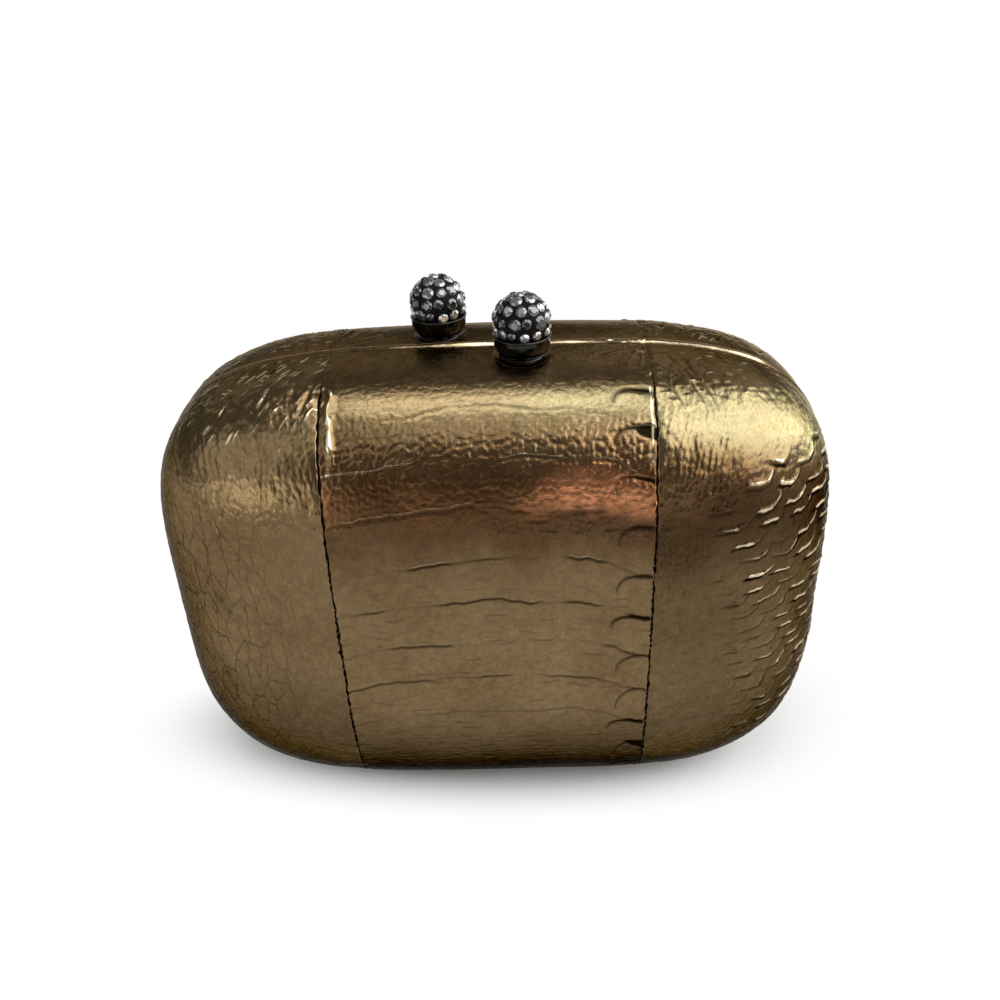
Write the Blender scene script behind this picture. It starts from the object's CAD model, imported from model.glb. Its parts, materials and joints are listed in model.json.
import json
import math

import bpy
import numpy as np
from mathutils import Matrix, Vector


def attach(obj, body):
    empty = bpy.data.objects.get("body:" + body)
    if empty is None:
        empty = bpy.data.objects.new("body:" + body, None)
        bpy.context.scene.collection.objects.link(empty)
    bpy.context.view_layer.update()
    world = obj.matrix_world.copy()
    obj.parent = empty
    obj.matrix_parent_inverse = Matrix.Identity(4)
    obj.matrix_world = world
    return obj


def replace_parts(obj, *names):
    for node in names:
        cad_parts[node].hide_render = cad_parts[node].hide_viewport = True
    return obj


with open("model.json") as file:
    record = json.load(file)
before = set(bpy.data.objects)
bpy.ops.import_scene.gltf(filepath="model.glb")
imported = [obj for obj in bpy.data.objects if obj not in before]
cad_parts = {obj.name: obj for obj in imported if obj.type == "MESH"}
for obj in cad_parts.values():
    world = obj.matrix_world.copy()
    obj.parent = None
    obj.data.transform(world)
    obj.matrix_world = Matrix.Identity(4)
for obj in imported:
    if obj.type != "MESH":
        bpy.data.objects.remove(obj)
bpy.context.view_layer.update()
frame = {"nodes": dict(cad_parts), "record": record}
nodes = frame["nodes"]

# The case form in millimetres. X runs along the width, the front faces -Y and Z is up.
MM = 0.001
HALF_WIDTH, HALF_DEPTH, HALF_HEIGHT = 83.0, 38.0, 60.0
MID_Z = 59.5
BELT = -0.084
FRONT_FLAT = 0.42
DEPTH_POWER = 3.15
ROUNDING = 1 - FRONT_FLAT ** DEPTH_POWER
UPPER_POWERS = (4.0, 4.4)
LOWER_POWERS = (4.2, 3.4)
# The two halves: which way each faces, which way its centre panel runs, and its body
SIDES = {"front": -1, "back": 1}
ACROSS = {"front": 1, "back": -1}
BODIES = {"front": "front_case", "back": "back_case"}

# The leather: where the panels end, and how their edges turn in
SEAM_X = 37.0
SEAM_HALF_GAP = 0.15
SEAM_CLOSING = 0.1
SEAM_DROP = 0.5
SEAM_ROUNDING = 0.45
PARTING_Y = 0.04
EDGE_RADIUS = 0.75
LEATHER = 1.2
GROOVE_TOP = 2.6
GROOVE_SLOPE = math.tan(math.radians(42))
# The turned edge, from its inside to the outer face: insets from the outline, and depths from the parting
LIP = [(3.3, 1.3), (3.25, 0.35), (3.0, PARTING_Y)] + [
    (EDGE_RADIUS * (1 - math.sin(turn)), PARTING_Y + EDGE_RADIUS * (1 - math.cos(turn)))
    for turn in np.linspace(0, math.pi / 2, 6)
]
LIP_Y = LIP[-1][1]
# Where the centre panel turns in at the hinge: depths from the parting, and heights
HINGE_TURN = ((1.8, 0.62), (3.4, 0.66))

# How finely the panels are divided, and the paths that they are drawn from
GRAIN_STEP = 0.4
EDGE_PLACES = np.array([0, 0.1, 0.25, 0.45, 0.7, 1.0, 1.4])
CENTRE_ROWS, SIDE_ROWS = 440, 185
TURN_POINTS, FLAT_POINTS = 300, 120
RIM_POINTS, OUTWARD_POINTS = 1500, 260
SMOOTHING_ROUNDS = 30
OUTSIDE = 150.0
HALVINGS = 40


def section_scale(share):
    """How far a section of the form has shrunk at a share of the half depth."""
    return (1 - ROUNDING * share ** DEPTH_POWER) ** (1 / DEPTH_POWER)


def depth_share(scale):
    """The share of the half depth at which the form has shrunk to a scale."""
    return np.clip((1 - scale ** DEPTH_POWER) / ROUNDING, 0, 1) ** (1 / DEPTH_POWER)


def edge_height(x, share, upper):
    """The height of a section's outline at a distance from the middle."""
    scale = section_scale(share)
    side_power, end_power = UPPER_POWERS if upper else LOWER_POWERS
    reach = np.clip(1 - np.abs(x / (HALF_WIDTH * scale)) ** side_power, 0, 1) ** (1 / end_power)
    level = BELT + (1 - BELT) * reach if upper else BELT - (1 + BELT) * reach
    return MID_Z + HALF_HEIGHT * scale * level


def distances(path):
    """How far each point of a path lies along it."""
    return np.concatenate([[0], np.cumsum(np.linalg.norm(np.diff(path, axis=0), axis=1))])


def points_at(wanted, along, path):
    """Points at wanted distances along a path."""
    return np.stack([np.interp(wanted, along, path[:, axis]) for axis in range(3)], axis=-1)


def resampled(paths, count):
    """Paths as columns of evenly spaced points, and the distances of these along them."""
    along = [distances(path) for path in paths]
    wanted = [np.linspace(0, places[-1], count) for places in along]
    columns = [points_at(*column) for column in zip(wanted, along, paths)]
    return np.stack(columns, axis=1), np.stack(wanted, axis=1)


# Large odd numbers that mix a lattice point and a seed into a random number
MIX_I, MIX_J, MIX_SEED, MIX_AGAIN = 374761393, 668265263, 974634777, 1274126177
LOW_BITS = 0xFFFFFFFF
RIDGE_SHARPNESS = 3.2
CELL_STRAY = 0.42
STROKE_WIDTH = 0.42


def hashed(i, j, seed):
    """A steady random number from -1 to 1 for each lattice point."""
    mixed = (i.astype(np.int64) * MIX_I + j.astype(np.int64) * MIX_J + seed * MIX_SEED) & LOW_BITS
    mixed = ((mixed ^ (mixed >> 13)) * MIX_AGAIN) & LOW_BITS
    mixed = mixed ^ (mixed >> 16)
    return mixed / 2 ** 31 - 1


def chance(number, kind, seed):
    """A steady random number from -1 to 1 for one numbered thing."""
    return float(hashed(np.array(number), np.array(kind), seed))


def noise(x, y, seed):
    """Smooth noise from -1 to 1 with a wavelength of about two."""
    x, y = np.broadcast_arrays(np.asarray(x, float), np.asarray(y, float))
    i, j = np.floor(x), np.floor(y)
    u, v = x - i, y - j
    u, v = u * u * (3 - 2 * u), v * v * (3 - 2 * v)
    low = hashed(i, j, seed) * (1 - u) + hashed(i + 1, j, seed) * u
    high = hashed(i, j + 1, seed) * (1 - u) + hashed(i + 1, j + 1, seed) * u
    return low * (1 - v) + high * v


def ridges(x, y, seed):
    """Thin creased lines, 1 on a line and 0 between lines."""
    return np.clip(1 - RIDGE_SHARPNESS * np.abs(noise(x, y, seed)), 0, 1)


def cells(x, y, seed):
    """Cells about one wide: 0 on their borders, about 0.5 in their middles."""
    i, j = np.floor(x), np.floor(y)
    nearest, second = np.full(i.shape, np.inf), np.full(i.shape, np.inf)
    for step in np.ndindex(3, 3):
        column, row = i + step[0] - 1, j + step[1] - 1
        centre_x = column + 0.5 + CELL_STRAY * hashed(column, row, seed)
        centre_y = row + 0.5 + CELL_STRAY * hashed(column, row, seed + 1)
        away = np.hypot(centre_x - x, centre_y - y)
        second = np.minimum(second, np.maximum(nearest, away))
        nearest = np.minimum(nearest, away)
    return second - nearest


def pebbles(x, y, seed):
    """Small rounded bumps with narrow furrows between them, from 0 to 1."""
    return np.sqrt(np.clip(cells(x, y, seed) / 0.5, 0, 1))


def ramp(value, start, end):
    """A smooth step from 0 at the start to 1 at the end."""
    t = np.clip((value - start) / (end - start), 0, 1)
    return t * t * (3 - 2 * t)


def bell(value, centre, width):
    """A smooth hump, 1 at its centre."""
    return np.exp(-((value - centre) / width) ** 2)


def strokes(across, along, spacing, length, seed):
    """Short scattered lines in rows, 1 on the strongest, from the room for each across and along."""
    row = np.floor(across / spacing)
    made = np.zeros_like(across)
    for step in (-1, 0, 1):
        line = row + step
        shift = 0.5 * hashed(line, line, seed)
        column = np.round(along / length - shift)
        middle = (column + shift + 0.2 * hashed(column, line, seed + 1)) * length
        away = across - (line + 0.5 + 0.35 * hashed(column, line, seed + 2)) * spacing
        reach = 1 - ramp(np.abs(along - middle) / length, 0.15, 0.45)
        strength = 0.55 + 0.45 * hashed(column, line, seed + 3)
        made = np.maximum(made, strength * reach * bell(away, 0, STROKE_WIDTH))
    return made


def edge_steps(length):
    """Places across a strip, finer at both ends where the leather turns in."""
    middle = np.linspace(EDGE_PLACES[-1], length - EDGE_PLACES[-1], int(length / GRAIN_STEP))
    return np.concatenate([EDGE_PLACES[:-1], middle, length - EDGE_PLACES[-2::-1]])


def lip_row(x, z, inset, depth):
    """A line of the turned edge along the parting."""
    x, z = x * (1 - inset / HALF_WIDTH), MID_Z + (z - MID_Z) * (1 - inset / HALF_HEIGHT)
    return np.stack([x, np.full_like(x, depth), z], axis=1)


def clear_of_hinge(points):
    """Keeps the leather above the floor and behind the groove of the hinge."""
    points[..., 2] = np.maximum(points[..., 2], 0)
    groove = (GROOVE_TOP - points[..., 2]) * GROOVE_SLOPE
    points[..., 1] = np.maximum(points[..., 1], groove)
    return points


def centre_path(x):
    """The centre panel's outer face at a distance from the middle, from the mouth to the hinge."""
    narrow = abs(x) / HALF_WIDTH
    start = LIP_Y / HALF_DEPTH
    end = 1.0 if narrow <= FRONT_FLAT else float(depth_share(narrow))
    shares = start + (end - start) * np.sin(np.linspace(0, math.pi / 2, TURN_POINTS))
    top, foot = edge_height(x, shares, True), edge_height(x, shares, False)
    depth = np.concatenate([shares, np.full(FLAT_POINTS, end), shares[::-1]]) * HALF_DEPTH
    height = np.concatenate([top, np.linspace(top[-1], foot[-1], FLAT_POINTS), foot[::-1]])
    height = np.maximum(height, 0)
    keep = (depth >= (GROOVE_TOP - height) * GROOVE_SLOPE) | (height > MID_Z)
    return np.stack([np.full(keep.sum(), x), depth[keep], height[keep]], axis=1)


def centre_grid():
    """A centre panel's outer face in rows from the mouth to the hinge, with distances across and down."""
    reach = SEAM_X - SEAM_HALF_GAP
    across = edge_steps(2 * reach) - reach
    grid, down = resampled([centre_path(x) for x in across], CENTRE_ROWS)
    for _ in range(SMOOTHING_ROUNDS):
        grid[3:-3] += 0.5 * ((grid[2:-4] + grid[4:-2]) / 2 - grid[3:-3])
    return grid, np.broadcast_to(across, down.shape), down


def side_start():
    """Where a side panel comes furthest forward, which its rows spread out from."""
    x = SEAM_X + SEAM_HALF_GAP
    return x, MID_Z + HALF_HEIGHT * x / HALF_WIDTH * BELT


def outline_reach(angle, share):
    """How far a section's outline lies from a side panel's start, at an angle from straight up."""
    scale = section_scale(share)
    start_x, start_z = side_start()
    shape = np.broadcast(angle, share).shape
    low, high = np.zeros(shape), np.full(shape, OUTSIDE)
    for _ in range(HALVINGS):
        middle = (low + high) / 2
        x = np.abs(start_x + middle * np.sin(angle)) / (HALF_WIDTH * scale)
        z = (start_z + middle * np.cos(angle) - MID_Z) / (HALF_HEIGHT * scale) - BELT
        upper = x ** UPPER_POWERS[0] + np.abs(z / (1 - BELT)) ** UPPER_POWERS[1]
        lower = x ** LOWER_POWERS[0] + np.abs(z / (1 + BELT)) ** LOWER_POWERS[1]
        inside = np.where(z > 0, upper, lower) < 1
        low, high = np.where(inside, middle, low), np.where(inside, high, middle)
    return low


def side_grid():
    """A right panel's outer face in rows from the seam to the mouth, and its flat pattern."""
    start_x, start_z = side_start()
    angles = np.linspace(0, math.pi, RIM_POINTS)
    first, last = float(depth_share(start_x / HALF_WIDTH)), LIP_Y / HALF_DEPTH
    rim = outline_reach(angles, last)
    edge = np.stack([rim * np.sin(angles), rim * np.cos(angles)], axis=1)
    along = distances(edge)
    angles = np.interp(edge_steps(along[-1]), along, angles)
    shares = last + (first - last) * np.sin(np.linspace(math.pi / 2, 0, OUTWARD_POINTS))[:, None]
    reach = outline_reach(angles[None], shares)
    reach[0] = 0
    x, z = start_x + reach * np.sin(angles), start_z + reach * np.cos(angles)
    depth = np.broadcast_to(shares * HALF_DEPTH, x.shape)
    dense = np.stack([x, depth, np.maximum(z, 0)], axis=2)
    grid, out = resampled(dense.swapaxes(0, 1), SIDE_ROWS)
    return grid, out * np.sin(angles), out * np.cos(angles)


def face_normals(grid):
    """Unit normals of a grid of points, away from the middle of the case."""
    normal = np.cross(*np.gradient(grid, axis=(0, 1)))
    normal /= np.maximum(np.linalg.norm(normal, axis=2, keepdims=True), 1e-9)
    return normal * np.sign((normal * (grid - (0, 0, MID_Z))).sum())


# Creases between the belly scales: distance down from the mouth and how strongly each shows
BELLY_CREASES = (
    (14.3, 0.15), (24.8, 0.5), (36.4, 0.65), (47.2, 0.65), (60.2, 1.0), (71.5, 1.0), (83.2, 0.95),
    (94.2, 0.85), (105, 0.55), (114.4, 0.5), (125, 0.5), (135.5, 0.5), (146, 0.4), (156.5, 0.4),
)
# The creases above this place arch more than those below
HIGH_CREASE = 30
HIGH_ARCH, LOW_ARCH = 0.0037, 0.0022
ARCH_X = 4
# Creases with a bright crest, and how bright it is, and those that end in a dark notch
BRIGHT_CREASES = {2: 0.95, 3: 0.78, 4: 0.54}
DARK_NOTCHES = (1, 9)
NOTCH_X = 36
# Where the scales hook down, and where the hooks end
HOOK_X, HOOK_END = 36.2, 36.6
# Bands of the centre panel, as a middle down from the mouth and a width, and the start of its lower part
PEBBLED_BAND = (36, 8.5)
CRUMPLED_BAND = (51.5, 4)
LOWER_PART = (52, 70)


def crease_line(x, index, level, seed):
    """How far down a crease runs: arched, lower by the right seam, and wandering a little."""
    arch = HIGH_ARCH if level < HIGH_CREASE else LOW_ARCH
    line = level + arch * (x - ARCH_X) ** 2 + 2.4 * ramp(x, 25, 35)
    return line + 0.8 * noise(x / 9, index, seed + 2) + 0.3 * noise(x / 2.2, index, seed + 3)


def scale_hook(x, below, stray):
    """The end of a belly scale by the right seam: a dark arc down from its crease."""
    reach_x, reach_down = 8.0 + 1.4 * stray, 7.4 - 1.2 * stray
    radius = np.hypot((x - HOOK_X) / reach_x, (below - reach_down) / reach_down)
    thick = 0.45 + (0.28 + 0.2 * stray) * ramp(x, 31, 35)
    arc = bell((radius - 1) * reach_down, 0, thick) * (below < reach_down) * (x < HOOK_END)
    arc *= ramp(x, 25.5, 28.5) * (0.7 + 0.3 * ramp(x, 28, 34))
    return arc * (0.8 + 0.18 * stray)


def belly_grain(x, down, seed):
    """Pebbles, wrinkles and crumples of the centre panel: heights and dark creases."""
    upper, lower = bell(down, *PEBBLED_BAND), ramp(down, *LOWER_PART)
    stir_x, stir_down = noise(x / 2.6, down / 2.6, seed + 15), noise(x / 2.4, down / 2.8, seed + 16)
    bumps = pebbles((x + 0.9 * stir_x) / 1.35, (down + 0.9 * stir_down) / 2.1, seed + 5)
    wrinkles = pebbles(x / 4.4, down / 1.6, seed + 14)
    lines = lower * strokes(down + noise(x / 6, down / 6, seed + 17), x, 2.2, 9, seed + 18)
    crumpled = bell(down - LOW_ARCH * (x - ARCH_X) ** 2, *CRUMPLED_BAND) * ramp(x, -12, 4)
    crumples = crumpled * strokes(down + 0.5 * stir_down, x, 1.25, 8, seed + 19)
    height = (0.07 + 0.15 * upper) * (1 - 0.4 * lower) * (bumps - 0.6)
    height += 0.1 * lower * (wrinkles - 0.6) + 0.08 * upper * ridges(x / 1.4, down / 5, seed + 6)
    height -= 0.08 * lines + 0.14 * crumples
    furrows = np.maximum((1 - bumps) ** 2, 0.8 * lower * (1 - wrinkles) ** 2)
    net = 0.6 * crumpled * (1 - bumps) ** 1.2
    return height, np.max([0.42 * furrows, 0.45 * lines, 0.5 * crumples, net], axis=0)


def belly_relief(x, down, seed):
    """The broad scales of the centre panel: heights in millimetres, dark creases and worn crests."""
    height, crease = belly_grain(x, down, seed)
    height += 0.16 * noise(x / 15, down / 17, seed) + 0.05 * noise(x / 4.5, down / 5, seed + 1)
    worn = np.zeros_like(height)
    for index, (level, share) in enumerate(BELLY_CREASES):
        below = down - crease_line(x, index, level, seed)
        strength = share * (0.4 + 0.6 * ramp(noise(x / 7, index, seed + 4), -0.5, 0.4))
        groove = strength * bell(below, 0.15, 0.48)
        hook = scale_hook(x, below, chance(index, 0, seed))
        height += strength * 0.09 * bell(below, -0.45, 0.4) - 0.16 * groove - 0.3 * hook
        crease = np.max([crease, 0.72 * groove, hook], axis=0)
        if index in BRIGHT_CREASES:
            worn = np.maximum(worn, BRIGHT_CREASES[index] * strength * bell(below, -0.55, 0.4))
        if index in DARK_NOTCHES:
            notch = ramp(1 - np.hypot((x - NOTCH_X) / 4.2, (below - 0.9) / 1.7), 0, 0.3)
            height -= 0.45 * notch
            crease = np.maximum(crease, notch)
    return height, crease, worn


# Raised scales of the side panels: the room for one, the distance between rows and the lean of the rows
SNAKE_SCALE = (8.6, 4.9, 0.42)
# Where the scales start to show, outwards from the seam, and where they fully do
SCALES_START = (12, 24)
STREAK_LEAN = math.radians(58)
# How strongly each side panel shows raised scales, a net of cracks, pale foil and streaks on its shoulder
SIDE_LOOKS = {
    "front_right": (1.0, 0.45, 1.0, 0.3),
    "front_left": (0.06, 1.0, 0.1, 1.0),
    "back_right": (0.7, 0.6, 0.4, 0.7),
    "back_left": (0.9, 0.4, 0.5, 0.5),
}
# How high the edge at the mouth is rolled, and how strongly it is rubbed
SIDE_ROLLS = {"right": (0.72, 1.0), "left": (0.35, 0.6)}


def snake_scales(x, y, seed):
    """Overlapping scales: their raised lips, and the gaps under them."""
    width, pitch, lean = SNAKE_SCALE
    x = x + 0.3 * noise(x / 1.3, y / 1.3, seed + 3)
    y = y + 0.3 * noise(x / 1.3, y / 1.3, seed + 4)
    u = x - lean * y
    row = np.floor(y / pitch)
    lips, gaps = np.zeros_like(u), np.zeros_like(u)
    for step in range(-1, 3):
        line = row + step
        shift = (line % 2) * width / 2
        column = np.round((u - shift) / width)
        centre_u = column * width + shift + 0.12 * width * hashed(column, line, seed)
        centre_y = line * pitch + 0.2 * pitch * hashed(column, line, seed + 1)
        across, along = (u - centre_u) / (0.34 * width), (y - centre_y) / (0.75 * pitch)
        turn = np.arctan2(across, -along)
        tick = ramp(turn, -0.75, -0.45) * (1 - ramp(turn, 0.55, 0.85))
        tick *= 0.85 + 0.25 * hashed(column, line, seed + 5)
        flank = ramp(turn, 0.4, 0.8) * (1 - ramp(turn, 1.1, 2.2))
        flank *= 0.6 + 0.3 * hashed(column, line, seed + 2)
        shown = np.maximum(tick, flank)
        away = ((np.abs(across) ** 4 + np.abs(along) ** 4) ** 0.25 - 1) * 0.36 * width
        lips = np.maximum(lips, shown * bell(away, 0, 0.5))
        gaps = np.maximum(gaps, shown * bell(away, 0.95, 0.5))
    return lips, gaps


def outward(x, y):
    """How far a place of a side panel lies towards the end of the case."""
    return x + 0.25 * np.clip(y, -20, 30)


def scale_strength(x, y, seed):
    """How strongly raised scales show: most towards the end, and not on the shoulder."""
    reach = 0.15 + 0.85 * ramp(outward(x, y), *SCALES_START)
    patch = 0.7 + 0.3 * ramp(noise(x / 6, y / 6, seed + 9), -0.5, 0.3)
    below_shoulder = 1 - ramp(y - 0.35 * (x - 20), 40, 46)
    level = (0.9 + 0.1 * ramp(y, 6, 26)) * (0.55 + 0.45 * ramp(y, -48, -32))
    return reach * patch * below_shoulder * level


def shoulder_marks(x, y, stir, seed):
    """The shoulder of a side panel: streaks, a fan of ridges, folds and flecks."""
    ways = (STREAK_LEAN, STREAK_LEAN - math.pi / 2)
    across, along = (x * math.sin(way) + y * math.cos(way) for way in ways)
    shoulder = ramp(y - 0.06 * x, 46, 54) * ramp(np.hypot(x, y), 48, 54)
    streaks = shoulder * strokes(across + stir, along + stir, 1.5, 6.5, seed + 11)
    fan = ridges((x - 0.3 * (y - 30)) / 1.5, y / 11, seed + 20) * bell(y, 53, 9)
    high = ramp(y, 56, 61)
    folds = high * strokes(x + 0.25 * y + 1.2 * stir, y, 5.5, 13, seed + 22)
    flecks = high * strokes(y + stir, x, 2.4, 4.5, seed + 23)
    return streaks, fan, folds, flecks


def crinkles(x, y, stir, seed):
    """Short fine wrinkles of a side panel, upright higher up and level further down."""
    upright = strokes(x + 0.8 * stir, y, 1.3, 4.5, seed + 18) * ramp(y, 2, 14) * (1 - ramp(y, 40, 50))
    level = strokes(y + 0.8 * stir, x, 1.9, 3.5, seed + 24) * (1 - ramp(y, 14, 30))
    return np.maximum(upright, 0.6 * level)


def side_relief(x, y, rim, seed, scaly, streaked):
    """The scales and wrinkles of a side panel: heights, dark creases and worn crests."""
    bend_x, bend_y = 1.5 * noise(x / 12, y / 12, seed + 7), 1.5 * noise(x / 11, y / 11, seed + 8)
    low_down = np.clip(40 - y, 0, 50)
    lips, gaps = snake_scales(x + bend_x, y + bend_y - 0.004 * low_down ** 2, seed + 40)
    strength = scaly * scale_strength(x, y, seed)
    lips, gaps = lips * strength, gaps * strength
    stir = 0.9 * noise(x / 4, y / 4, seed + 17)
    streaks, fan, folds, flecks = shoulder_marks(x, y, stir, seed)
    streaks *= streaked
    reach = ramp(outward(x, y), *SCALES_START)
    crinkle = crinkles(x, y, stir, seed) * (0.3 + 0.7 * scaly) * (1 - 0.6 * reach)
    bumps = pebbles((x + 0.8 * bend_x) / 1.5, (y + 0.8 * bend_y) / 2.0, seed + 19)
    height = 0.36 * lips - 0.14 * gaps + 0.2 * noise(x / 14, y / 14, seed + 10)
    height += 0.18 * streaks + 0.12 * fan - 0.06 * crinkle - 0.34 * folds + 0.2 * flecks
    height += 0.07 * noise(x / 2.4, y / 2.4, seed + 12) + 0.12 * (bumps - 0.6)
    height *= 0.4 + 0.6 * ramp(rim, 2, 12)
    rubbed = lips * (0.62 + 0.45 * ramp(outward(x, y), 20, 33))
    worn = np.max([rubbed, streaks, 0.8 * flecks], axis=0) * ramp(rim, 0.5, 3)
    furrows = 0.4 * (1 - bumps) ** 2
    net = 0.6 * scaly * bell(y, 24, 15) * (1 - 0.5 * reach) * (1 - bumps) ** 1.2
    crease = np.max([0.9 * gaps, 0.76 * folds, 0.42 * crinkle, furrows, net], axis=0)
    return height, crease * ramp(rim, 0, 2), worn


# Millimetres to one unit of the UV map that keeps a panel's flat pattern
PATTERN_UNIT = 100


def placed(name, data):
    """A new object in the scene for a mesh, a lamp or a camera."""
    piece = bpy.data.objects.new(name, data)
    bpy.context.scene.collection.objects.link(piece)
    return piece


def built(name, points, faces, smooth=False):
    """A new object in the scene from points in metres and faces."""
    mesh = bpy.data.meshes.new(name)
    mesh.from_pydata(points, [], faces, shade_flat=not smooth)
    return placed(name, mesh)


def carry(mesh, label, values):
    """Gives each point of a mesh a value that its material reads."""
    layer = mesh.attributes.new(label, "FLOAT", "POINT")
    layer.data.foreach_set("value", values.astype(np.float32).ravel())


def ring(middle, first_way, second_way, count, turn=0):
    """Points in a ring about a middle, from its two half axes."""
    angles = 2 * math.pi * (np.arange(count) + turn) / count
    return [middle + math.cos(angle) * first_way + math.sin(angle) * second_way for angle in angles]


def turns_out(points):
    """Whether the faces of a grid of points, taken in order, turn away from the case."""
    row, column = points.shape[0] // 2, points.shape[1] // 2
    here = points[row, column]
    normal = np.cross(points[row, column + 1] - here, points[row + 1, column] - here)
    return np.dot(normal, here - (0, 0, MID_Z * MM)) > 0


def leather_mesh(name, grid, skirts, height, tones, flat, mirror):
    """A panel from its displaced outer face, its cut edges, and rows of points before and after it."""
    normal = face_normals(grid)
    outer = clear_of_hinge(grid + normal * height[..., None])
    inward = clear_of_hinge(grid - normal * (LEATHER - 0.1))
    outer = np.concatenate([inward[:, :1], outer, inward[:, -1:]], axis=1)
    skirts = [clear_of_hinge(np.reshape(rows, (-1, *grid.shape[1:]))) for rows in skirts]
    before, after = (np.pad(rows, [(0, 0), (1, 1), (0, 0)], "edge") for rows in skirts)
    points = np.concatenate([before, outer, after]) * mirror * MM

    def full(values):
        """Values of the outer face, carried on over the skirts and the cut edges."""
        return np.pad(values, [(len(before), len(after)), (1, 1)], "edge")

    rows, columns = points.shape[:2]
    index = np.arange(rows * columns).reshape(rows, columns)
    corners = [index[:-1, :-1], index[:-1, 1:], index[1:, 1:], index[1:, :-1]]
    quads = np.stack(corners, axis=2).reshape(-1, 4)
    if not turns_out(points):
        quads = quads[:, ::-1]
    piece = built(name, points.reshape(-1, 3), quads, smooth=True)
    for label, values in {"height": height, **tones}.items():
        carry(piece.data, label, full(values))
    places = np.meshgrid(np.linspace(0, 1, columns), np.linspace(0, 1, rows))
    grid_uv = np.stack(places, axis=2).reshape(-1, 2)
    chart = np.stack([full(flat[0]), full(flat[1])], axis=2).reshape(-1, 2) / PATTERN_UNIT
    for label, uv in (("UVMap", grid_uv), ("pattern", chart)):
        layer = piece.data.uv_layers.new(name=label)
        layer.data.foreach_set("uv", uv[quads.ravel()].astype(np.float32).ravel())
    piece.data.validate()
    return piece


# Knobs: where their axes stand on each half, and how far the collars press into the leather
KNOBS = {"front": (8.2, 7.1), "back": (-11.7, 7.1)}
KNOB_Z = 127.0
COLLAR_RADIUS = 5.5
SEAT_DEPTH = 0.62

# Places on the centre panel, across from the middle and down from the mouth
FOLD_X = -34.7
RAYS_X, RAYS_DOWN = 37, 2
COPPER_X, COPPER_DOWN = 24, 44.5
CENTRE_SEEDS = {"front": 100, "back": 300}
SIDE_SEED, SIDE_SEED_STEP = 500, 200


def ragged(along, seed):
    """How far the cut edge of a panel wanders at a seam."""
    return 0.04 + 0.18 * noise(along / 0.9, 0, seed) + 0.12 * noise(along / 2.9, 0, seed + 1)


def seam_opening(distance):
    """How far a seam gapes at a distance from the mouth: it is shut over the top of the case."""
    return ramp(distance, 12, 24)


def seam_shift(wander, edge, opening):
    """How far a panel draws back from a seam that gapes, or over one that is shut."""
    return (wander * opening - SEAM_CLOSING * (1 - opening)) * np.exp(-edge / 0.9)


def seam_drop(edge, opening):
    """How far the outer face rounds down into a seam, less where the seam is shut."""
    inside = np.clip(SEAM_ROUNDING - edge, 0, SEAM_ROUNDING)
    rounded = SEAM_ROUNDING - np.sqrt(SEAM_ROUNDING ** 2 - inside ** 2)
    return SEAM_DROP * rounded * (0.2 + 0.8 * opening)


def puckers(along, distance, seed):
    """Small gathers that the stitches pull into the leather beside a seam."""
    return 0.16 * noise(along / 1.2, distance / 3, seed) * np.exp(-distance / 2.0)


def rolled_edge(distance, level, side):
    """The front half has a rolled edge at the mouth, and the back half a lower one."""
    if side == "front":
        return level * (1 - ramp(distance, 0.3, 1.9))
    return -0.15 * np.exp(-distance / 1.5)


def rubbed_edge(distance, side):
    """The rolled edge of the front half is rubbed pale."""
    if side == "front":
        return 0.6 * ramp(distance, 0.2, 0.8) * (1 - ramp(distance, 1.2, 2.1))
    return np.zeros_like(distance)


def grime(z, share, start, end):
    """The finish is darker low down, where the case is set down."""
    return share * (1 - ramp(z, start, end))


def upright_fold(x, down, seed):
    """A bright fold that stands beside the left seam, high on the centre panel."""
    place = FOLD_X + 0.8 * noise(down / 4, 0, seed + 26)
    fold = bell(x, place, 0.75) * ramp(down, 16, 21) * ramp(40 - down, 0, 6)
    return fold * (0.76 + 0.38 * noise(down / 1.9, 0, seed + 25))


def gathered_rays(x, down, seed):
    """Fine rays where the leather is gathered at the mouth, by the right seam."""
    radius = np.hypot(x - RAYS_X, down - RAYS_DOWN)
    angle = np.arctan2(down - RAYS_DOWN, RAYS_X - x)
    return ridges(angle * 7, radius / 9, seed + 20) * bell(radius, 7, 6)


def knob_seat(grid, side):
    """1 where the collar of a knob presses into the leather, and 0 elsewhere."""
    knob_x, knob_depth = KNOBS[side]
    away = np.hypot(grid[..., 0] - ACROSS[side] * knob_x, grid[..., 1] - knob_depth)
    pressed = 1 - ramp(away, COLLAR_RADIUS + 0.2, COLLAR_RADIUS + 1.2)
    return pressed * (grid[..., 2] > MID_Z)


def centre_wear(x, down, edge, side, seed):
    """Where the centre panel is rubbed pale: at the mouth, and in a strip beside its right seam."""
    rubbed = rubbed_edge(down, side) * (0.55 + 0.45 * ramp(x, -30, 0))
    rubbed *= 0.95 + 0.2 * noise(x / 3, 0, seed + 31)
    strip = bell(edge, 0.75, 0.4) * (x > 0) * ramp(down, 17, 21) * (1 - ramp(down, 37, 43))
    strip *= 0.65 + 0.35 * noise(down / 2.2, 0, seed + 32)
    return np.maximum(rubbed, strip)


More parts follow.
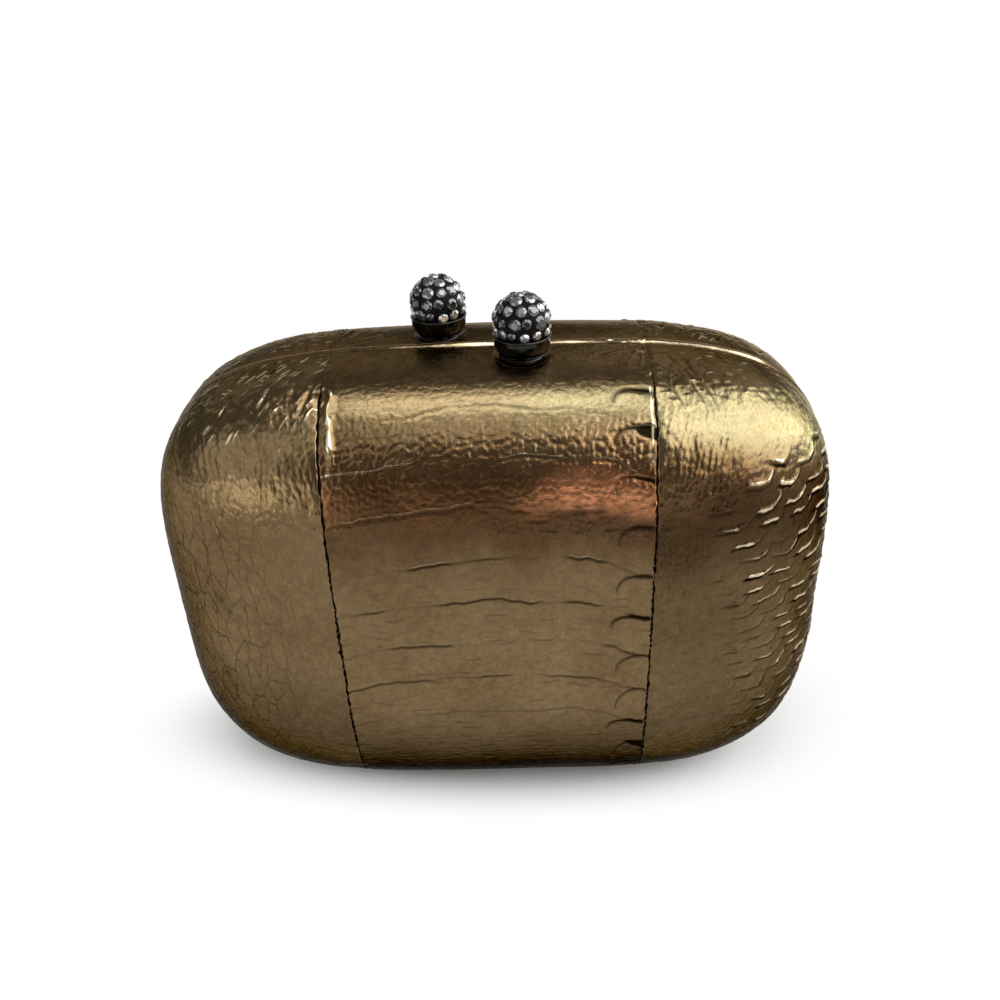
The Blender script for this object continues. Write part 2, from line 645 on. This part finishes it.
def centre_tones(x, down, z, seed):
    """Where the centre panel is red, copper, shaded, pale and cracked."""
    uneven = down + 2 * noise(x / 8, 0, seed + 27) + noise(x / 2.5, down / 2.5, seed + 29)
    from_copper = uneven - COPPER_DOWN - 0.002 * (x - ARCH_X) ** 2
    patch = 1 - ramp(np.hypot((x - COPPER_X) / 18, from_copper / 6.2), 0.35, 1.15)
    mottled = 0.8 + 0.2 * noise(x / 1.1, down / 2.4, seed + 28)
    dusk = 0.48 * bell(uneven, 53, 9.5) * (1 - patch)
    return {
        "red": 0.9 * bell(uneven, 46, 11),
        "copper": patch * mottled,
        "shade": np.maximum(dusk, grime(z, 0.75, 12, 46)),
        "pale": bell(down, 24, 4.5) * (0.35 + 0.6 * ramp(x, -10, 22)),
        "cracked": 0.25 * ramp(down, 50, 62),
    }


def centre_panel(side):
    """The centre panel of a half, from the mouth down to the hinge."""
    grid, x, down = centre_grid()
    seed = CENTRE_SEEDS[side]
    edge = SEAM_X - SEAM_HALF_GAP - np.abs(x)
    opening = seam_opening(down)
    height, crease, worn = belly_relief(x, down, seed)
    fold, rays = upright_fold(x, down, seed), gathered_rays(x, down, seed)
    height = height * ramp(edge, 0, 1.5) * ramp(down, 0, 3)
    height += 0.75 * fold + 0.3 * rays + puckers(down + x, edge, seed + 21)
    level = 0.48 + 0.24 * ramp(x, -28, 0) + 0.1 * noise(x / 5, 0, seed + 30)
    height += rolled_edge(down, level, side) - seam_drop(edge, opening)
    seat = knob_seat(grid, side)
    height = height * (1 - seat) - SEAT_DEPTH * seat
    wander = np.where(x > 0, ragged(down, seed + 22), ragged(down, seed + 24))
    grid[..., 0] -= np.sign(x) * seam_shift(wander, edge, opening)
    tones = centre_tones(x, down, grid[..., 2], seed)
    tones["crease"] = crease
    tones["worn"] = np.max([worn, fold, 0.65 * rays, centre_wear(x, down, edge, side, seed)], axis=0)
    top = edge_height(x[0], 0, True)
    before = [lip_row(x[0], top, *step) for step in LIP[:-1]]
    after = [[(place, *turn) for place in grid[-1, :, 0]] for turn in HINGE_TURN]
    mirror = (ACROSS[side], SIDES[side], 1)
    return leather_mesh(f"{side}_belly_leather", grid, (before, after), height, tones, (down, x), mirror)


def side_panel(side, hand):
    """A side panel of a half, from its seam to the mouth."""
    grid, x, y = side_grid()
    panel = f"{side}_{hand}"
    seed = SIDE_SEED + SIDE_SEED_STEP * list(SIDE_LOOKS).index(panel)
    scaly, cracked, pale, streaked = SIDE_LOOKS[panel]
    roll, rub = SIDE_ROLLS[hand]
    out = np.hypot(x, y)
    edge = np.maximum(grid[..., 0] - SEAM_X - SEAM_HALF_GAP, 0)
    rim = out[-1:] - out
    opening = np.where(y > 0, seam_opening(rim), 1)
    height, crease, worn = side_relief(x, y, rim, seed, scaly, streaked)
    height = height * ramp(edge, 0, 1.5) * ramp(rim, 0, 3)
    corner = ramp(x, 34, 46)
    level = (roll + 0.08 * noise(x / 5, y / 5, seed + 30)) * (1 - 0.6 * corner)
    height += puckers(y, edge, seed + 21) + rolled_edge(rim, level, side) - seam_drop(edge, opening)
    grid[..., 0] += seam_shift(ragged(y, seed + 22), edge, opening)
    uneven = y + 3 * noise(x / 8, 0, seed + 27) + 1.5 * noise(x / 3, y / 3, seed + 29)
    rubbed = rub * rubbed_edge(rim, side) * (1 - corner) * ramp(y, 20, 30)
    z = grid[..., 2]
    dusk = scaly * (0.28 * (1 - ramp(uneven, 34, 48)) + 0.4 * bell(uneven, 31, 11))
    by_mouth = 0.3 * (1 - ramp(rim, 2, 14)) * (1 - ramp(y, 20, 40))
    tones = {
        "crease": crease,
        "worn": np.maximum(worn, rubbed),
        "red": 0.6 * scaly * bell(uneven, 34, 14),
        "copper": np.zeros_like(x),
        "shade": np.max([dusk, by_mouth, grime(z, 0.46, 25, 62), grime(z, 0.75, 8, 30)], axis=0),
        "pale": pale * ramp(y + 0.25 * (x - 22), 43, 53) * (1 - ramp(y, 60, 68)),
        "cracked": cracked * (1 - ramp(uneven, 36, 50)) * (0.45 + 0.55 * ramp(x, 4, 26)),
    }
    tones = {name: values[1:] for name, values in tones.items()}
    after = [lip_row(grid[-1, :, 0], grid[-1, :, 2], *step) for step in LIP[-2::-1]]
    mirror = (-1 if hand == "left" else 1, SIDES[side], 1)
    return leather_mesh(f"{panel}_leather", grid[1:], ([], after), height[1:], tones, (x[1:], y[1:]), mirror)


def shader(name):
    """A new material, its node tree and its principled shader."""
    made = bpy.data.materials.new(name)
    made.use_nodes = True
    return made, made.node_tree, made.node_tree.nodes["Principled BSDF"]


def connect(tree, item, values):
    """Sets the inputs of a node, or links them to the outputs of others."""
    for key, value in values.items():
        if isinstance(value, bpy.types.NodeSocket):
            tree.links.new(value, item.inputs[key])
        else:
            item.inputs[key].default_value = value


def add(tree, kind, values=None, **settings):
    """A shader node with its settings, and its inputs set or linked."""
    item = tree.nodes.new(f"ShaderNode{kind}")
    for key, value in settings.items():
        setattr(item, key, value)
    connect(tree, item, values or {})
    return item


def blend(tree, share, first, second, kind="MIX"):
    """Blends the second colour over the first by a share."""
    colours = {0: share, 6: first, 7: second}
    return add(tree, "Mix", colours, data_type="RGBA", blend_type=kind).outputs[2]


def calc(tree, operation, first, second):
    """One step of arithmetic on two values."""
    return add(tree, "Math", {0: first, 1: second}, operation=operation).outputs[0]


def spread(tree, value, low=0.0, high=1.0, start=0.0, end=1.0, kind="LINEAR"):
    """Maps a value between a start and an end onto a range."""
    limits = {"From Min": start, "From Max": end, "To Min": low, "To Max": high}
    return add(tree, "MapRange", {"Value": value, **limits}, interpolation_type=kind).outputs[0]


def cloud(tree, place, scale, detail, roughness=0.5):
    """Procedural noise from 0 to 1."""
    values = {"Vector": place, "Scale": scale, "Detail": detail, "Roughness": roughness}
    return add(tree, "TexNoise", values).outputs["Fac"]


def rgb(red, green, blue):
    return (red, green, blue, 1)


# Tones of the leather
BRONZE_DARK, BRONZE_LIGHT = rgb(0.15, 0.095, 0.043), rgb(0.225, 0.153, 0.079)
BRONZE_WARM = rgb(0.24, 0.157, 0.077)
RED_BROWN = rgb(0.2, 0.092, 0.038)
PALE_FOIL = rgb(0.27, 0.228, 0.118)
COPPER = rgb(0.74, 0.305, 0.145)
RAISED_GOLD = rgb(0.36, 0.26, 0.135)
RUBBED_GOLD = rgb(0.66, 0.56, 0.37)
DEEP_BROWN = rgb(0.004, 0.002, 0.0008)
GRAZING_TINT = rgb(0.32, 0.345, 0.365)
BUMP_DEPTH = 0.0002


def crack_net(tree, pattern, mottle):
    """A net of fine slanting cracks, broken where the leather is dull: 1 on a crack."""
    stir = add(tree, "TexNoise", {"Vector": pattern, "Scale": 30}).outputs["Color"]
    warped = blend(tree, 0.012, pattern, stir, "ADD")
    slant = {"Rotation": (0, 0, math.radians(20)), "Scale": (30, 11, 1)}
    slanted = add(tree, "Mapping", {"Vector": warped, **slant}).outputs[0]
    net = add(tree, "TexVoronoi", {"Vector": slanted, "Scale": 1.0}, feature="DISTANCE_TO_EDGE")
    line = spread(tree, net.outputs["Distance"], 1, 0, end=0.075)
    return calc(tree, "MULTIPLY", line, spread(tree, mottle, start=0.37, end=0.53))


def leather_material():
    """Foiled snakeskin: bronze over brown, worn on the high spots and dark in creases and cracks."""
    made, tree, surface = shader("bronze_snakeskin")
    pattern = add(tree, "UVMap", uv_map="pattern").outputs[0]
    crease, height, shade, red, copper, pale, cracked, worn = (
        add(tree, "Attribute", attribute_name=name).outputs["Fac"]
        for name in ("crease", "height", "shade", "red", "copper", "pale", "cracked", "worn")
    )
    patina = cloud(tree, pattern, 5, 4)
    mottle = cloud(tree, pattern, 38, 5, 0.65)
    stretched = add(tree, "Mapping", {"Vector": pattern, "Scale": (1, 0.6, 1)}).outputs[0]
    fine = cloud(tree, stretched, 190, 5, 0.65)
    cracks = calc(tree, "MULTIPLY", crack_net(tree, pattern, mottle), cracked)
    flecks = calc(tree, "MULTIPLY", calc(tree, "ADD", fine, mottle), 0.5)
    speckle = spread(tree, flecks, 0.36, 0, start=0.34, end=0.56)
    groove = spread(tree, crease, start=0.12, end=0.75)
    dark = calc(tree, "MAXIMUM", groove, calc(tree, "MULTIPLY", cracks, 0.6))
    dark = calc(tree, "MAXIMUM", dark, speckle)
    layers = (
        (spread(tree, mottle, -0.5, 0.9), BRONZE_WARM),
        (red, RED_BROWN),
        (pale, PALE_FOIL),
        (copper, COPPER),
        (spread(tree, height, high=0.4, start=0.02, end=0.4), RAISED_GOLD),
        (shade, DEEP_BROWN),
        (calc(tree, "MINIMUM", dark, 0.97), DEEP_BROWN),
        (spread(tree, worn, start=0.42, end=0.68), RUBBED_GOLD),
    )
    tone = blend(tree, spread(tree, patina, -0.6, 1.6), BRONZE_DARK, BRONZE_LIGHT)
    for share, colour in layers:
        tone = blend(tree, share, tone, colour)
    relief = calc(tree, "SUBTRACT", fine, cracks)
    bump = add(tree, "Bump", {"Height": relief, "Strength": 0.32, "Distance": BUMP_DEPTH})
    facing = add(tree, "LayerWeight", {"Blend": 0.5}).outputs["Facing"]
    connect(tree, surface, {
        "Base Color": tone,
        "Roughness": calc(tree, "ADD", spread(tree, mottle, 0.07, 0.22), calc(tree, "MULTIPLY", crease, 0.3)),
        "Normal": bump.outputs[0],
        "Metallic": spread(tree, facing, 1, 0.15, start=0.72, end=0.93),
        "Specular IOR Level": 0.0,
        "Specular Tint": GRAZING_TINT,
    })
    return made


METAL = {"Metallic": 1.0}


def surface_material(name, low, high, scale, roughness, others=None, bump=0.1, stretch=(1, 1, 1)):
    """A finish with fine grain: two tones, a range of roughness, other settings and a little bump."""
    made, tree, surface = shader(name)
    place = add(tree, "TexCoord").outputs["Object"]
    place = add(tree, "Mapping", {"Vector": place, "Scale": stretch}).outputs[0]
    grain = cloud(tree, place, scale, 6, 0.6)
    broad = cloud(tree, place, scale / 12, 3)
    mixed = calc(tree, "MULTIPLY", calc(tree, "ADD", grain, broad), 0.5)
    raised = add(tree, "Bump", {"Height": grain, "Strength": bump, "Distance": BUMP_DEPTH})
    connect(tree, surface, {
        "Base Color": blend(tree, spread(tree, mixed, -0.4, 1.4), low, high),
        "Roughness": spread(tree, broad, *roughness),
        "Normal": raised.outputs[0],
        **(others or {}),
    })
    return made


# Stones: height and straying against the plain ones, and rings of corners from the top down: how many, turned
# by how many steps, and shares of the radius and the height
STONE_RISE = 0.9
STONE_STRAY = 0.28
STONE_SEED = 41
STONE_RINGS = ((8, 0, 0.55, 1.0), (8, 0.5, 0.8, 0.82), (16, 0, 1.0, 0.58), (16, 0, 1.0, 0.0))
# Clear, smoky, black and grey stones: where each starts from 0 to 1, and how light it is
STONE_SHADES = ((0, 0.5), (0.25, 0.1), (0.5, 0.025), (0.78, 0.2))
STONE_GLINT = rgb(0.75, 0.75, 0.76)


def stone_material():
    """Stones told apart by the shade that each one carries."""
    made, tree, surface = shader("cut_stones")
    shade = add(tree, "Attribute", attribute_name="shade").outputs["Fac"]
    stops = add(tree, "ValToRGB", {"Fac": shade})
    stops.color_ramp.interpolation = "CONSTANT"
    elements = stops.color_ramp.elements
    for start, light in STONE_SHADES:
        item = elements[0] if start == 0 else elements.new(start)
        item.color = rgb(light, light, light * 1.03)
    elements.remove(elements[-1])
    patchy = cloud(tree, add(tree, "TexCoord").outputs["Object"], 900, 2)
    connect(tree, surface, {
        "Base Color": blend(tree, spread(tree, patchy, -0.25, 0.22), stops.outputs[0], STONE_GLINT),
        "Roughness": spread(tree, patchy, 0.02, 0.1),
        "Metallic": 0.75,
        "IOR": 1.9,
        "Coat Weight": 1.0,
        "Coat Roughness": 0.02,
    })
    return made


# The floor in metres: its reach, and the oval that keeps the shadow of the case
FLOOR_REACH = 8.0
SHADOW_MIDDLE = (0.01, 0, 0)
SHADOW_REACH = (0.112, 0.037)


def floor_material():
    """A pale floor that keeps the shadow near the case and is plain white further away."""
    made, tree, surface = shader("pale_floor")
    place = add(tree, "NewGeometry").outputs["Position"]
    paper = cloud(tree, place, 60, 3)
    tone = blend(tree, paper, rgb(0.67, 0.67, 0.665), rgb(0.69, 0.69, 0.69))
    connect(tree, surface, {"Base Color": tone, "Roughness": 0.9, "Specular IOR Level": 0.0})
    path = add(tree, "LightPath").outputs
    seen = calc(tree, "MAXIMUM", path["Is Camera Ray"], path["Is Glossy Ray"])
    seen = calc(tree, "MAXIMUM", seen, path["Is Transmission Ray"])
    under = add(tree, "VectorMath", {0: place, 1: SHADOW_MIDDLE}, operation="SUBTRACT").outputs[0]
    shrink = (1 / SHADOW_REACH[0], 1 / SHADOW_REACH[1], 0)
    oval = add(tree, "VectorMath", {0: under, 1: shrink}, operation="MULTIPLY").outputs[0]
    reach = add(tree, "VectorMath", {0: oval}, operation="LENGTH").outputs["Value"]
    away = spread(tree, reach, start=0.62, end=1.12, kind="SMOOTHSTEP")
    share = calc(tree, "MULTIPLY", seen, away)
    white = add(tree, "Emission", {"Color": rgb(1, 1, 1), "Strength": 1.0})
    mixed = add(tree, "MixShader", {0: share, 1: surface.outputs[0], 2: white.outputs[0]})
    connect(tree, tree.nodes["Material Output"], {"Surface": mixed.outputs[0]})
    return made


def dress(piece, material):
    """Gives a piece one material all over."""
    piece.data.materials.clear()
    piece.data.materials.append(material)
    return piece


def separate_parts(mesh):
    """The corners of each separate part of a mesh, in millimetres."""
    corners = np.round(np.array([v.co for v in mesh.vertices]) / MM, 3).tolist()
    parts = []
    for face in mesh.polygons:
        joined = {tuple(corners[index]) for index in face.vertices}
        touching = [part for part in parts if part & joined]
        parts = [part for part in parts if part.isdisjoint(joined)]
        parts.append(joined.union(*touching))
    return [np.array(sorted(part)) for part in parts]


def cut_stone(corners, ball, number):
    """The points of a stone with facets, ring by ring, in the place of a plain stone."""
    axis = corners.mean(axis=0) - ball
    axis /= np.linalg.norm(axis)
    levels = (corners - ball) @ axis
    foot = levels.min()
    rise = STONE_RISE * (levels.max() - foot)
    low = corners[levels < foot + 0.05]
    plain_radius = np.linalg.norm(low - low.mean(axis=0), axis=1).mean()
    radius = plain_radius * (1.13 + 0.22 * chance(number, 3, STONE_SEED))
    start = low[0] - low.mean(axis=0)
    start = (start - axis * (start @ axis)) / plain_radius
    side_way = np.cross(axis, start)
    centre = ball + axis * foot
    centre += STONE_STRAY * chance(number, 11, STONE_SEED) * start
    centre += STONE_STRAY * chance(number, 13, STONE_SEED) * side_way
    points = []
    for count, turn, reach, level in STONE_RINGS:
        out = radius * reach
        points += ring(centre + axis * rise * level, start * out, side_way * out, count, turn)
    return points


def stone_faces(base):
    """The facets of a stone whose points start at a number: its table, crown and sides."""
    table, star, girdle, foot_ring = base, base + 8, base + 16, base + 32
    faces = [tuple(range(table, table + 8))]
    for step in range(8):
        after = (step + 1) % 8
        near, far = girdle + 2 * step, girdle + (2 * step + 2) % 16
        faces.append((table + step, star + step, table + after))
        faces.append((table + after, star + step, far, star + after))
        faces.append((star + step, near, near + 1))
        faces.append((star + step, near + 1, far))
    for step in range(16):
        after = (step + 1) % 16
        faces.append((girdle + step, foot_ring + step, foot_ring + after, girdle + after))
    return faces


def stones_of(side):
    """Cut stones in the places of the node's plain stones, each with a shade of its own."""
    knob_x, knob_depth = KNOBS[side]
    ball = np.array([knob_x, SIDES[side] * knob_depth, KNOB_Z])
    verts, faces, shades = [], [], []
    for number, corners in enumerate(separate_parts(nodes[f"{side}_knob_stones"].data)):
        stone = cut_stone(corners, ball, number)
        faces += stone_faces(len(verts))
        verts += stone
        shades += [(chance(number, 7, STONE_SEED) + 1) / 2] * len(stone)
    piece = built(f"{side}_cut_stones", np.array(verts) * MM, faces)
    carry(piece.data, "shade", np.array(shades))
    return piece


# Stitches: their start down from the mouth, their end before the hinge, and their spacing
STITCH_START, STITCH_END, STITCH_SPACING = 52, 6, 3.4
# One stitch: half its length, its radius, its depth, and its rings of points
STITCH_REACH, STITCH_RADIUS, STITCH_DEPTH = 0.55, 0.15, 0.42
STITCH_RINGS, STITCH_SIDES = 7, 6
STITCH_SEEDS = {"front": 40, "back": 60}


def stitch(centre, face, stray):
    """The points of one stitch, ring by ring; its ends dip into the leather."""
    sideways = (1, 0, 0) - face * face[0]
    sideways /= np.linalg.norm(sideways)
    lengthways = np.cross(face, sideways)
    heading = sideways + 0.35 * stray * lengthways
    points = []
    for step in np.linspace(-1, 1, STITCH_RINGS):
        rise = 0.12 * stray - STITCH_DEPTH - 0.4 * step ** 4
        middle = centre + heading * step * STITCH_REACH + face * rise
        radius = STITCH_RADIUS * (1 - 0.25 * step ** 2)
        points += ring(middle, lengthways * radius, face * radius, STITCH_SIDES)
    return points


def stitch_faces(base):
    """The faces of a stitch whose points start at a number."""
    faces = []
    for step in range(STITCH_RINGS - 1):
        first = base + STITCH_SIDES * step
        for turn in range(STITCH_SIDES):
            here, beside = first + turn, first + (turn + 1) % STITCH_SIDES
            faces.append((here, beside, beside + STITCH_SIDES, here + STITCH_SIDES))
    return faces


def stitches(side):
    """Short dark stitches across both seams of a half."""
    grid, _, down = centre_grid()
    normal = face_normals(grid)
    verts, faces = [], []
    for column, way in ((0, -1), (-1, 1)):
        rows = down[:, column]
        places = np.arange(STITCH_START, rows[-1] - STITCH_END, STITCH_SPACING)
        for number, place in enumerate(places):
            centre = points_at(place, rows, grid[:, column])
            centre[0] = way * SEAM_X
            face = points_at(place, rows, normal[:, column])
            face /= np.linalg.norm(face)
            faces += stitch_faces(len(verts))
            verts += stitch(centre, face, chance(number, column + 3, STITCH_SEEDS[side]))
    points = np.array(verts) * (ACROSS[side], SIDES[side], 1) * MM
    return built(f"{side}_seam_stitches", points, faces, smooth=True)


snakeskin = leather_material()
finishes = {
    "leather": snakeskin,
    "stones": stone_material(),
    "shell": surface_material(
        "shell_board", rgb(0.012, 0.009, 0.007), rgb(0.03, 0.022, 0.017), 700, (0.5, 0.75), bump=0.2
    ),
    "lining": surface_material(
        "suede_lining", rgb(0.05, 0.034, 0.023), rgb(0.11, 0.078, 0.054), 2600, (0.75, 0.95),
        {"Sheen Weight": 0.4}, bump=0.5,
    ),
    "brass": surface_material(
        "aged_brass", rgb(0.44, 0.29, 0.11), rgb(0.66, 0.47, 0.2), 900, (0.2, 0.36), METAL, bump=0.08,
        stretch=(0.3, 3, 3),
    ),
    "gunmetal": surface_material(
        "polished_gunmetal", rgb(0.02, 0.019, 0.018), rgb(0.045, 0.042, 0.038), 1500, (0.08, 0.16), METAL,
        bump=0.03,
    ),
    "pave_base": surface_material(
        "black_enamel", rgb(0.003, 0.003, 0.003), rgb(0.009, 0.008, 0.008), 1800, (0.3, 0.5),
        {"Specular IOR Level": 0.04},
    ),
    "steel": surface_material(
        "plain_steel", rgb(0.36, 0.36, 0.37), rgb(0.52, 0.52, 0.53), 1200, (0.25, 0.4), METAL
    ),
    "thread": surface_material(
        "waxed_thread", rgb(0.008, 0.005, 0.003), rgb(0.03, 0.019, 0.011), 4200, (0.5, 0.7), bump=0.4
    ),
}
for row in frame["record"]["subparts"]:
    dress(nodes[row["node"]], finishes[row["material_slot"]])

for side, body in BODIES.items():
    panels = {
        "centre": centre_panel(side),
        "left": side_panel(side, "left"),
        "right": side_panel(side, "right"),
    }
    for panel, piece in panels.items():
        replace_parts(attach(dress(piece, snakeskin), body), f"{side}_{panel}_panel")
    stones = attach(dress(stones_of(side), finishes["stones"]), body)
    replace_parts(stones, f"{side}_knob_stones")
    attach(dress(stitches(side), finishes["thread"]), body)

# The floor, the light and the camera
CASE_MIDDLE = Vector((0, 0, MID_Z * MM))
WORLD_GREY = rgb(0.23, 0.23, 0.23)
LAMP_DISTANCE = 1.5
# Soft boxes: azimuth, elevation, width and height in degrees from the case, and brightness against white
SOFTBOXES = {
    "overhead": (180, 89, 36, 25, 3.5),
    "front_overhead": (6, 62, 40, 26, 1.2),
    "right_softbox": (71, 38, 70, 56, 3.7),
    "right_low": (114, 12, 30, 26, 3.8),
    "left_fill": (-56, 31, 46, 36, 0.85),
    "left_low": (-42, 4, 34, 13, 2.2),
    "back_right": (150, 28, 44, 34, 0.5),
    "back_left": (-152, 24, 36, 28, 0.4),
}
# The camera as fitted to the photograph, in degrees and metres, and the shift of its frame
CAMERA_AZIMUTH, CAMERA_ELEVATION, CAMERA_ROLL = 2.15, 33.53, -2.54
CAMERA_DISTANCE = 0.2693
CAMERA_SHIFT = (0.0033, 0.0542)


def direction(azimuth, elevation):
    """The way out from the case at an azimuth from the front and an elevation, in degrees."""
    turn, lift = math.radians(azimuth), math.radians(elevation)
    return Vector((math.sin(turn) * math.cos(lift), -math.cos(turn) * math.cos(lift), math.sin(lift)))


def softbox(name, azimuth, elevation, width, height, brightness):
    """A distant soft box that faces the case."""
    lamp = bpy.data.lights.new(name, "AREA")
    lamp.shape = "RECTANGLE"
    lamp.size, lamp.size_y = (2 * LAMP_DISTANCE * math.tan(math.radians(way) / 2) for way in (width, height))
    lamp.energy = brightness * math.pi * lamp.size * lamp.size_y
    towards = direction(azimuth, elevation)
    piece = placed(name, lamp)
    piece.location = CASE_MIDDLE + towards * LAMP_DISTANCE
    piece.rotation_mode = "QUATERNION"
    piece.rotation_quaternion = towards.to_track_quat("Z", "Y")


def photo_camera():
    """The camera at the photograph's viewing angle."""
    camera = bpy.data.cameras.new("camera")
    camera.sensor_width = 36
    camera.lens = 36
    camera.shift_x, camera.shift_y = CAMERA_SHIFT
    camera.clip_start, camera.clip_end = 0.01, 50
    azimuth, roll = math.radians(CAMERA_AZIMUTH), math.radians(CAMERA_ROLL)
    back = direction(CAMERA_AZIMUTH, CAMERA_ELEVATION)
    level = Vector((math.cos(azimuth), math.sin(azimuth), 0))
    upright = back.cross(level)
    right = level * math.cos(roll) + upright * math.sin(roll)
    up = upright * math.cos(roll) - level * math.sin(roll)
    place = Matrix.Translation(CASE_MIDDLE + back * CAMERA_DISTANCE)
    viewer = placed("camera", camera)
    viewer.matrix_world = place @ Matrix((right, up, back)).transposed().to_4x4()
    return viewer


floor_corners = [(FLOOR_REACH * x, FLOOR_REACH * y, 0) for x, y in ((-1, -1), (1, -1), (1, 1), (-1, 1))]
floor = built("floor", floor_corners, [(0, 1, 2, 3)])
dress(floor, floor_material())

world = bpy.data.worlds.new("studio")
world.use_nodes = True
connect(world.node_tree, world.node_tree.nodes["Background"], {"Color": WORLD_GREY, "Strength": 1.0})
bpy.context.scene.world = world

for name, values in SOFTBOXES.items():
    softbox(name, *values)
bpy.context.scene.camera = photo_camera()
bpy.context.scene.view_settings.view_transform = "Standard"
